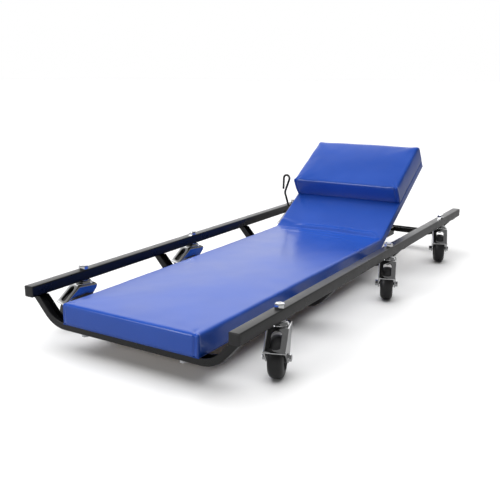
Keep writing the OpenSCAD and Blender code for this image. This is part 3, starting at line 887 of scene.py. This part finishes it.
def make_axle(name):
    """One axle bolt, first round the origin with its head at +X, then in its fork."""
    bm = bmesh.new()
    for side, height, dish in ((1, AXLE_HEAD, 0.3), (-1, AXLE_NUT, 0.0)):
        place = Matrix.Translation((side * (FORK_HALF + BOSS_STAND), 0, 0))
        add_hexagon(bm, AXLE_FLATS, height, place @ Matrix.Rotation(side * math.pi / 2, 4, "Y"),
                    dish=dish, chamfer=0.7)
    add_rod(bm, AXLE_RADIUS, (-FORK_HALF - (AXLE_NUT + 1) * MM, 0, 0), (FORK_HALF, 0, 0))
    seat = Matrix.Translation((0, -TRAIL, WHEEL_RADIUS))
    flip = Matrix.Rotation(0 if name.endswith("right") else math.pi, 4, "Z")
    bmesh.ops.transform(bm, matrix=caster_place(name) @ seat @ flip, verts=bm.verts)
    return finish_piece(bm, "axle_bolt_" + name, "caster_" + name, ["axle_" + name], "chrome")


def make_wheel(name):
    hub, tyre = bmesh.new(), bmesh.new()
    seat = caster_place(name) @ Matrix.Translation((0, -TRAIL, WHEEL_RADIUS))
    spin_section(hub, HUB_SECTION, (0, 0, 0), (1, 0, 0), 48, rounding=0.5)
    spin_section(tyre, tyre_section(WHEEL_RADIUS / MM), (0, 0, 0), (1, 0, 0), 72)
    for bm in (hub, tyre):
        bmesh.ops.transform(bm, matrix=seat, verts=bm.verts)
    return [
        finish_piece(hub, "hub_" + name, "wheel_" + name, ["wheel_core_" + name], "wheel_plastic"),
        finish_piece(tyre, "tread_" + name, "wheel_" + name, ["tyre_" + name], "tyre"),
    ]


for name in CASTERS:
    make_axle(name)
wheels = [make_wheel(name) for name in CASTERS]
print("wheels:", [(len(h.data.polygons), len(t.data.polygons)) for h, t in wheels])

# %% [markdown]
# ## The padded cover: how it is made
#
# One sheet of vinyl is pulled over the foam of the long pad, runs on across the hinge and up
# over the thin pad of the headrest. So the visual piece is one closed skin that bends at the
# hinge, while the CAD model has two plain solids. The skin starts as a cube that is cut into
# a fine grid. Each grid point is then placed: the height rounds over at the edges, and the
# length follows the pad's line, flat first and then up the raised panel.

# %% The line of the pads
HINGE = Vector(joint_of["headrest_hinge"]["pos_m"]) / MM
REST_ANGLE = math.radians(31.0)
PANEL_TOP = 21.0
CREASE_S = 38.8
pad_low, pad_high = (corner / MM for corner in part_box("main_cushion"))
pillow_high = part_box("pillow")[1] / MM
PANEL_END = (pillow_high.y - HINGE.y + PANEL_TOP * math.sin(REST_ANGLE)) / math.cos(REST_ANGLE)


def on_panel(s, t):
    """A (y, z) point in mm, s along the raised panel from its hinge and t square to it."""
    return Vector((HINGE.y + s * math.cos(REST_ANGLE) - t * math.sin(REST_ANGLE),
                   HINGE.z + s * math.sin(REST_ANGLE) + t * math.cos(REST_ANGLE)))


def panel_place(y, z):
    """The (s, t) place on the raised panel of a (y, z) point in mm."""
    dy, dz = y - HINGE.y, z - HINGE.z
    return (dy * math.cos(REST_ANGLE) + dz * math.sin(REST_ANGLE),
            dz * math.cos(REST_ANGLE) - dy * math.sin(REST_ANGLE))


print("panel end at", round(PANEL_END, 1), "mm from the hinge")

# %% Grid stops and the padded shell
FOOT_HOLLOW = 3.4


def stops(length, near, spacing, far=None):
    """Positions along a length in mm: chosen ones near each end, even ones between."""
    far = near if far is None else far
    middle = length - near[-1] - far[-1]
    count = max(1, round(middle / spacing))
    between = [near[-1] + middle * i / count for i in range(1, count)]
    return list(near) + between + [length - d for d in reversed(far)]


def along_table(table, u):
    """Linear interpolation in a list of (u, point) pairs."""
    for (u0, p0), (u1, p1) in zip(table, table[1:]):
        if u <= u1:
            return Vector(p0).lerp(Vector(p1), (u - u0) / (u1 - u0))
    return Vector(table[-1][1])


def grid_shell(xs, us, vs):
    """A closed box of grid faces with its corners at whole numbers, and the stops it stands for."""
    bm = bmesh.new()
    bmesh.ops.create_cube(bm, size=1.0, matrix=Matrix.Translation((0.5, 0.5, 0.5)))
    for axis, marks in enumerate((xs, us, vs)):
        edges = [e for e in bm.edges if abs(e.verts[0].co[axis] - e.verts[1].co[axis]) > 1e-6]
        if axis:
            edges = [e for e in edges if all(
                abs(e.verts[0].co[k] - e.verts[1].co[k]) < 1e-6 for k in range(3) if k != axis)]
        bmesh.ops.subdivide_edges(bm, edges=edges, cuts=len(marks) - 2, use_grid_fill=True)
    for vert in bm.verts:
        vert.co = [marks[round(vert.co[k] * (len(marks) - 1))]
                   for k, marks in enumerate((xs, us, vs))]
    return bm


def rounded(point, low, high, radius):
    """Moves a point of a box's surface in, so that the box's upper edges are round."""
    core = Vector((min(max(point.x, low.x + radius), high.x - radius),
                   min(max(point.y, low.y + radius), high.y - radius),
                   min(point.z, high.z - radius)))
    out = point - core
    return core + out.normalized() * radius if out.length > radius else point


def padded_shell(half, us, height, radius, top_of, bottom_of):
    """A padded slab in metres between a line of top points and a line of bottom points.

    Its underside is raised a little inside the rim, so that the boards stay clear of it."""
    edge = [0, 1.8, 3.8, 6.2, 8.2, 10.2, 12.2, 14.2, 16.6, 20, 25, 32]
    xs = [x - half for x in stops(2 * half, edge, 8.5)]
    vs = [0, height * 0.3, height * 0.55, height * 0.75, height - radius * 0.7,
          height - radius * 0.3, height]
    bm = grid_shell(xs, us, vs)
    low, high = Vector((-half, us[0], 0)), Vector((half, us[-1], height))
    for vert in bm.verts:
        x, u, v = rounded(vert.co.copy(), low, high, radius)
        side = Vector(bottom_of(u)).lerp(Vector(top_of(u)), v / height)
        if v < 1e-6 and abs(x) < half - 3 and us[0] + 3 < u < us[-1] - 3:
            side.y += FOOT_HOLLOW
        vert.co = Vector((x, side.x, side.y)) * MM
    bmesh.ops.recalc_face_normals(bm, faces=bm.faces)
    return bm


print("padded shell helpers ready")

# %% [markdown]
# ## Stuffing
#
# A short cloth run with pressure inside puffs the skin up, so the middle crowns and the edges
# stay tight, as foam under a stretched cover does. The foot of the skin is held. The swelling
# is scaled so that no point moves further than its cap, and then the cloth is taken off again.

# %% Stuffing with a cloth run
PRESSURE = 4.0
LAST_FRAME = 20


def stuff(bm, name, cap, held):
    """Returns a mesh object puffed up by at most cap metres; held(co) says what stays put."""
    mesh = bpy.data.meshes.new(name)
    bm.to_mesh(mesh)
    bm.free()
    piece = bpy.data.objects.new(name, mesh)
    bpy.context.scene.collection.objects.link(piece)
    group = piece.vertex_groups.new(name="held")
    group.add([v.index for v in mesh.vertices if held(v.co)], 1.0, "REPLACE")
    cloth = piece.modifiers.new("stuffing", "CLOTH")
    cloth.settings.vertex_group_mass = "held"
    cloth.settings.use_pressure = True
    cloth.settings.uniform_pressure_force = PRESSURE
    cloth.settings.effector_weights.gravity = 0.0
    cloth.collision_settings.use_collision = False
    for number in range(1, LAST_FRAME + 1):
        bpy.context.scene.frame_set(number)
    puffed = piece.evaluated_get(bpy.context.evaluated_depsgraph_get())
    moves = [a.co - b.co for a, b in zip(puffed.data.vertices, mesh.vertices)]
    share = min(1.0, cap / max(move.length for move in moves))
    piece.modifiers.remove(cloth)
    bpy.context.scene.frame_set(1)
    for vert, move in zip(mesh.vertices, moves):
        vert.co += move * share
    piece.vertex_groups.clear()
    print(name, "puffed up; share of the free swelling kept:", round(share, 3))
    return piece


# %% [markdown]
# ## Folds, pleats and wrinkles
#
# Vinyl gathers where it turns a corner and where it bends at a hinge. These are small moves of
# the grid points along their own normals: a bell curve across the fold, and a window along it,
# so each fold rises and dies away. They come after the stuffing, which would smooth them out.

# %% Fold helpers
def bell(distance, width):
    return math.exp(-((distance / width) ** 2))


def window(value, low, high, fade):
    """1 between low and high, easing to 0 over a fade on each side."""
    t = min((value - low) / fade, (high - value) / fade) + 0.5
    t = min(max(t, 0.0), 1.0)
    return t * t * (3 - 2 * t)


def off_line(point, start, end):
    """Distance of a 2-D point from a line piece, and how far along it lies, from 0 to 1."""
    point, start, end = Vector(point), Vector(start), Vector(end)
    along = (end - start).length
    t = (point - start).dot(end - start) / along / along
    return (point - start - (end - start) * min(max(t, 0.0), 1.0)).length, t


def waves(point, size, seed=0.0):
    """Slow, even noise between -1 and 1."""
    return noise.noise(Vector(point) / size + Vector((seed, seed, seed)))


def press(piece, depth_at):
    """Moves every point along its normal by depth_at(point, normal) mm."""
    mesh = piece.data
    moves = [v.normal * depth_at(v.co / MM, v.normal) * MM for v in mesh.vertices]
    for vert, move in zip(mesh.vertices, moves):
        vert.co += move


def soften(piece, material, body=None, nodes=()):
    """One subdivision, baked in; then material, body and the CAD solids that it replaces."""
    fine = piece.modifiers.new("soft", "SUBSURF")
    fine.levels = fine.render_levels = 1
    seen = piece.evaluated_get(bpy.context.evaluated_depsgraph_get())
    piece.data = bpy.data.meshes.new_from_object(seen)
    piece.modifiers.clear()
    piece.data.polygons.foreach_set("use_smooth", [True] * len(piece.data.polygons))
    piece.data.materials.clear()
    piece.data.materials.append(material)
    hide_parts(*nodes)
    if body:
        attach(piece, body)


print("fold helpers ready")

# %% [markdown]
# ## The long cover
#
# At its foot corners the cover is folded over like a parcel: a narrow crevice runs up the front
# face and a rolled lip stands beside it. At the hinge a long soft ridge lies a little way up the
# panel, with a shallow valley behind it, and a short slanting fold sits at its right end. The
# grid's rows stand closest near the crease, where those folds need them.

# %% Build the cover
COVER_HALF = 130.6
COVER_RADIUS = 5.5
PLEAT_X = 123.5
FOLD_ROOM = 60
FOLD_STEP = 3.75
FOLD_ROWS = 32
flat_length = on_panel(CREASE_S, PANEL_TOP).x - pad_low.y
cover_length = flat_length + PANEL_END - CREASE_S
pad_top = pad_high.z - 0.8
SKIRT = 48.7
cover_bottom_line = [
    (0.0, (pad_low.y, SKIRT)),
    (pad_high.y - pad_low.y - 2, (pad_high.y - 0.6, SKIRT)),
    (pad_high.y - pad_low.y + 3, (pad_high.y + 0.4, 60.0)),
    (pad_high.y - pad_low.y + 11, (150.0, 61.5)),
    (pad_high.y - pad_low.y + 20, (157.0, 61.5)),
    (flat_length, (161.0, 60.5)),
    (flat_length + 8, tuple(on_panel(18.0, 2.7))),
    (flat_length + 28, tuple(on_panel(45.0, 2.7))),
    (flat_length + 58, tuple(on_panel(CREASE_S + 55, 2.7))),
    (cover_length, tuple(on_panel(PANEL_END, 2.7))),
]


def cover_top(u):
    if u < flat_length:
        return Vector((pad_low.y + u, pad_top))
    return on_panel(CREASE_S + u - flat_length, PANEL_TOP - 0.8)


def cover_depth(p, normal):
    depth = 0.45 * waves(p, 70) + 0.25 * waves(p, 28, 4.0)
    for side, line, deep, lip in ((1, PLEAT_X, 3.2, 1.8), (-1, 126.0, 2.6, 1.2)):
        x = p.x * side
        if p.y < pad_low.y + 5:
            bend = line + 0.9 * math.sin((p.z - 55) / 9)
            depth -= deep * bell(x - bend, 1.7)
            depth += lip * bell(x - bend - 4.0, 2.6) * window(p.z, 52, 90, 6)
        elif normal.z > 0.5:
            far, t = off_line((x, p.y), (line, pad_low.y + 2), (line - 11, pad_low.y + 20))
            depth -= deep * 0.55 * bell(far, 2.2) * window(t, -0.1, 0.8, 0.6)
    s, t = panel_place(p.y, p.z)
    if normal.z > 0.3 and s > CREASE_S - 4 and t > 10:
        q = s - CREASE_S
        ridge = 9 + 1.5 * math.sin(p.x / 36 + 1.0)
        inside = window(p.x, -79, 97, 22)
        depth += 3.2 * bell(q - ridge, 4.4) * inside - 1.3 * bell(q - ridge - 13, 7.5) * inside
        far, t = off_line((p.x, q), (97, 15), (119, 1))
        depth += 3.2 * bell(far, 3.6) * window(t, -0.1, 1.1, 0.3)
        far, t = off_line((p.x, q), (-88, 13), (-126, 24))
        depth += 1.7 * bell(far, 3.6) * window(t, 0.0, 1.1, 0.3)
    if normal.z > 0.5 and p.z > pad_top - 8 and s < CREASE_S:
        for y, high, middle, reach in ((157, 1.8, 20, 180), (138, 1.5, -20, 160), (112, 1.1, 35, 130)):
            bent = y + 5 * math.sin((p.x + 3 * y) / 41)
            depth += high * bell(p.y - bent, 6) * window(
                p.x, middle - reach / 2, middle + reach / 2, 50)
    return depth


fold_start = flat_length - FOLD_ROOM
cover_rows = stops(fold_start, [0, 1.8, 3.8, 6.2, 9, 13, 19, 27], 9.5, far=[0])
cover_rows += [fold_start + FOLD_STEP * i for i in range(1, FOLD_ROWS + 1)]
cover_rows += [cover_rows[-1] + u for u in stops(
    cover_length - cover_rows[-1], [0], 9.5, far=[0, 1.8, 3.8, 6.2, 9, 14])[1:]]
shell = padded_shell(COVER_HALF, cover_rows, 34.0, COVER_RADIUS, cover_top,
                     lambda u: along_table(cover_bottom_line, u))
cover = stuff(shell, "vinyl_cover", 2.6 * MM,
              lambda co: co.z < (SKIRT + 9) * MM or panel_place(co.y / MM, co.z / MM)[1] < 9
              and co.y > 160 * MM)
press(cover, cover_depth)
soften(cover, vinyl, nodes=["main_cushion", "head_cushion"])
crease = Vector((0, *on_panel(CREASE_S, PANEL_TOP))) * MM
across_crease = (crease - HINGE * MM).normalized().cross(Vector((1, 0, 0)))
across_crease *= 15 * MM if across_crease.y > 0 else -15 * MM
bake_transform(cover)
print("cover:", len(cover.data.polygons), "faces")

# %% [markdown]
# ## The pillow
#
# The pillow is a firmer block of foam in its own cover. Its far top edge is rounder than the
# near one, and each front corner has a parcel fold whose lip stands out and catches the light.

# %% Build the pillow
PILLOW_START = 157.0
PILLOW_TOP = 64.2
PILLOW_FOOT = 19.5
FAR_ROUNDING = 15.0
pillow_length = PANEL_END - PILLOW_START


def pillow_line_top(u):
    past = max(0.0, u - (pillow_length - FAR_ROUNDING))
    drop = FAR_ROUNDING - math.sqrt(max(FAR_ROUNDING ** 2 - past ** 2, 0.0))
    return on_panel(PILLOW_START + u, PILLOW_TOP - 0.75 * drop)


def pillow_line_bottom(u):
    return on_panel(PILLOW_START + u, PILLOW_FOOT)


def pillow_depth(p, _normal):
    s, t = panel_place(p.y, p.z)
    depth = 0.6 * waves(p, 60, 2.0) + 0.3 * waves(p, 25, 7.0)
    back = abs(s - PILLOW_START)
    for side, line, lip in ((1, 124.0, 2.4), (-1, 125.0, 2.2)):
        x = p.x * side
        if back < 5:
            bend = line + math.sin((t - 25) / 10)
            depth -= 3.0 * bell(x - bend, 1.8)
            depth += lip * bell(x - bend - 4.2, 2.8) * window(t, 24, 64, 10)
        elif t > PILLOW_TOP - 6 and back < 24:
            far, along = off_line((x, back), (line, 2), (line - 12, 20))
            depth -= 1.8 * bell(far, 2.4) * window(along, -0.1, 0.8, 0.6)
    return depth


ends = [0, 1.8, 3.8, 6.2, 9, 13, 18, 24]
shell = padded_shell(COVER_HALF, stops(pillow_length, ends, 8.5), 45.0, 6.0,
                     pillow_line_top, pillow_line_bottom)
pillow = stuff(shell, "head_pillow", 4.5 * MM,
               lambda co: panel_place(co.y / MM, co.z / MM)[1] < PILLOW_FOOT + 6)
press(pillow, pillow_depth)
soften(pillow, vinyl, body="headrest", nodes=["pillow"])
print("pillow:", len(pillow.data.polygons), "faces")

# %% [markdown]
# ## The plywood boards
#
# Only the undersides show, because the cover wraps their edges. Each board is a stretched cube
# with bevelled rims, a few millimetres smaller than the cover all round.

# %% Build the boards
BOARD_HALF = 126.5


def board_piece(name, start, end, low, high, place, body, node):
    bm = bmesh.new()
    verts = block(bm, Vector((-BOARD_HALF, start, low)) * MM, Vector((BOARD_HALF, end, high)) * MM)
    round_edges(bm, edges_of(verts), 1.0 * MM, segments=2)
    bmesh.ops.transform(bm, matrix=place, verts=bm.verts)
    return finish_piece(bm, name, body, [node], "board_wood")


main_low, main_high = (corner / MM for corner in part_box("main_board"))
board_piece("long_board", main_low.y + 3.5, main_high.y, main_low.z, main_high.z,
            Matrix.Identity(4), "frame", "main_board")
panel_frame = Matrix.Translation(HINGE * MM) @ Matrix.Rotation(REST_ANGLE, 4, "X")
board_piece("headrest_board", 6.0, PANEL_END - 4.5, 3.0, 11.0, panel_frame, "headrest", "head_board")
print("boards done")

# %% [markdown]
# ## Hems and staples
#
# Underneath, the cover's edge is turned over the board and stapled down. The hem is a thin strip
# of the same vinyl round the board's rim; each staple is a short wire bridge.

# %% Build the hems and staples
HEM = 20.0
HEM_THICK = 0.8
STAPLE = (11.0, 0.9, 0.6)
STAPLE_STEP = 52.0


def hem_place(name):
    """Turns flat (x, along, height) mm under a board into the model's metres."""
    if name == "main":
        return Matrix.Translation((0, 0, 49.0 * MM))
    origin = on_panel(0.0, 3.0) * MM
    return (Matrix.Translation((0, origin.x, origin.y))
            @ Matrix.Rotation(REST_ANGLE, 4, "X"))


def add_hems(name, start, end, body, half=COVER_HALF - 0.4):
    hem, staples = bmesh.new(), bmesh.new()
    for x0, x1, y0, y1 in (
            (-half, half, start, start + HEM), (-half, half, end - HEM, end),
            (-half, -half + HEM, start + HEM, end - HEM),
            (half - HEM, half, start + HEM, end - HEM)):
        block(hem, Vector((x0, y0, -HEM_THICK)) * MM, Vector((x1, y1, 0.2)) * MM)
        long_way = 1 if y1 - y0 > x1 - x0 else 0
        length = (x1 - x0, y1 - y0)[long_way]
        for i in range(int(length / STAPLE_STEP) + 1):
            middle = Vector(((x0 + x1) / 2, (y0 + y1) / 2, -HEM_THICK))
            middle[long_way] = (x0, y0)[long_way] + length * (i + 0.5) / (
                int(length / STAPLE_STEP) + 1)
            size = Vector(STAPLE)
            if long_way:
                size.x, size.y = size.y, size.x
            corner = Vector((size.x / 2, size.y / 2, 0))
            block(staples, (middle - corner - Vector((0, 0, size.z))) * MM,
                  (middle + corner) * MM)
    for bm in (hem, staples):
        bmesh.ops.transform(bm, matrix=hem_place(name), verts=bm.verts)
    round_edges(hem, hem.edges[:], 0.3 * MM, 1)
    round_edges(staples, staples.edges[:], 0.2 * MM, 1)
    finish_piece(hem, name + "_hem", body, [], "vinyl")
    finish_piece(staples, name + "_staples", body, [], "zinc")


add_hems("main", pad_low.y + 1.0, pad_high.y, "frame")
add_hems("headrest", 28.0, PANEL_END - 1.0, "headrest")
print("hems and staples done")

# %% [markdown]
# ## Floor and light
#
# The light is a plain studio: a pale backdrop behind and to the left, which the flat tops of
# the vinyl and the rails mirror at a low angle, and a dim room everywhere else, which keeps the
# sides and the raised pillow deep. A very soft sun overhead lights the colours but is never
# mirrored, and one soft box at the front left draws the highlights on the edges. The floor is
# plain and pale to the camera and throws less light back than it seems to.

# %% Floor and lights
bpy.context.scene.view_settings.view_transform = "Standard"
FLOOR_TONE = 0.88
FLOOR_BOUNCE = 0.38
BACKDROP_SIDE = Vector((-0.53, 0.85, 0.0)).normalized()

floor_shape = bmesh.new()
bmesh.ops.create_grid(floor_shape, x_segments=2, y_segments=2, size=40.0)
floor_mesh = bpy.data.meshes.new("floor")
floor_shape.to_mesh(floor_mesh)
floor_shape.free()
floor = bpy.data.objects.new("floor", floor_mesh)
bpy.context.scene.collection.objects.link(floor)
floor_finish, floor_tree, floor_shader = start_material(
    "floor_paint", Roughness=0.9, Specular_IOR_Level=0.1)
seen_floor = floor_tree.nodes.new("ShaderNodeLightPath")
floor_tone = floor_tree.nodes.new("ShaderNodeMix")
floor_tone.inputs["A"].default_value = FLOOR_BOUNCE
floor_tone.inputs["B"].default_value = FLOOR_TONE
floor_tree.links.new(seen_floor.outputs["Is Camera Ray"], floor_tone.inputs["Factor"])
floor_tree.links.new(floor_tone.outputs["Result"], floor_shader.inputs["Base Color"])
floor_mesh.materials.append(floor_finish)


def make_studio_sky():
    """A world that is bright towards the backdrop and dim behind the camera."""
    world = bpy.data.worlds.new("studio")
    bpy.context.scene.world = world
    world.use_nodes = True
    tree = world.node_tree
    where = tree.nodes.new("ShaderNodeTexCoord")
    facing = tree.nodes.new("ShaderNodeVectorMath")
    facing.operation = "DOT_PRODUCT"
    facing.inputs[1].default_value = BACKDROP_SIDE
    spread = tree.nodes.new("ShaderNodeMapRange")
    spread.interpolation_type = "SMOOTHSTEP"
    for socket, value in (("From Min", 0.38), ("From Max", 0.92), ("To Min", 0.12), ("To Max", 1.2)):
        spread.inputs[socket].default_value = value
    seen = tree.nodes.new("ShaderNodeLightPath")
    choose = tree.nodes.new("ShaderNodeMix")
    choose.inputs["B"].default_value = 1.0
    tree.links.new(where.outputs["Generated"], facing.inputs[0])
    tree.links.new(facing.outputs["Value"], spread.inputs["Value"])
    tree.links.new(seen.outputs["Is Camera Ray"], choose.inputs["Factor"])
    tree.links.new(spread.outputs["Result"], choose.inputs["A"])
    background = tree.nodes["Background"]
    background.inputs["Color"].default_value = (1, 1, 1, 1)
    tree.links.new(choose.outputs["Result"], background.inputs["Strength"])


def add_lamp(name, light, at, aim, mirrored=True):
    """A lamp at a point that looks at another; one that isn't mirrored adds no highlights."""
    lamp = bpy.data.objects.new(name, light)
    lamp.visible_glossy = mirrored
    lamp.location = at
    lamp.rotation_euler = (Vector(aim) - Vector(at)).to_track_quat("-Z", "Y").to_euler()
    bpy.context.scene.collection.objects.link(lamp)


make_studio_sky()
sun = bpy.data.lights.new("overhead", "SUN")
sun.energy = 3.3
sun.angle = math.radians(75)
add_lamp("overhead", sun, (-0.3, 0.1, 3.0), (0, 0, 0), mirrored=False)
key = bpy.data.lights.new("front_box", "AREA")
key.shape = "RECTANGLE"
key.size, key.size_y = 1.1, 0.6
key.energy = 32
add_lamp("front_box", key, (-1.3, -2.9, 1.3), (0, -0.2, 0.05))
print("floor and lights ready")
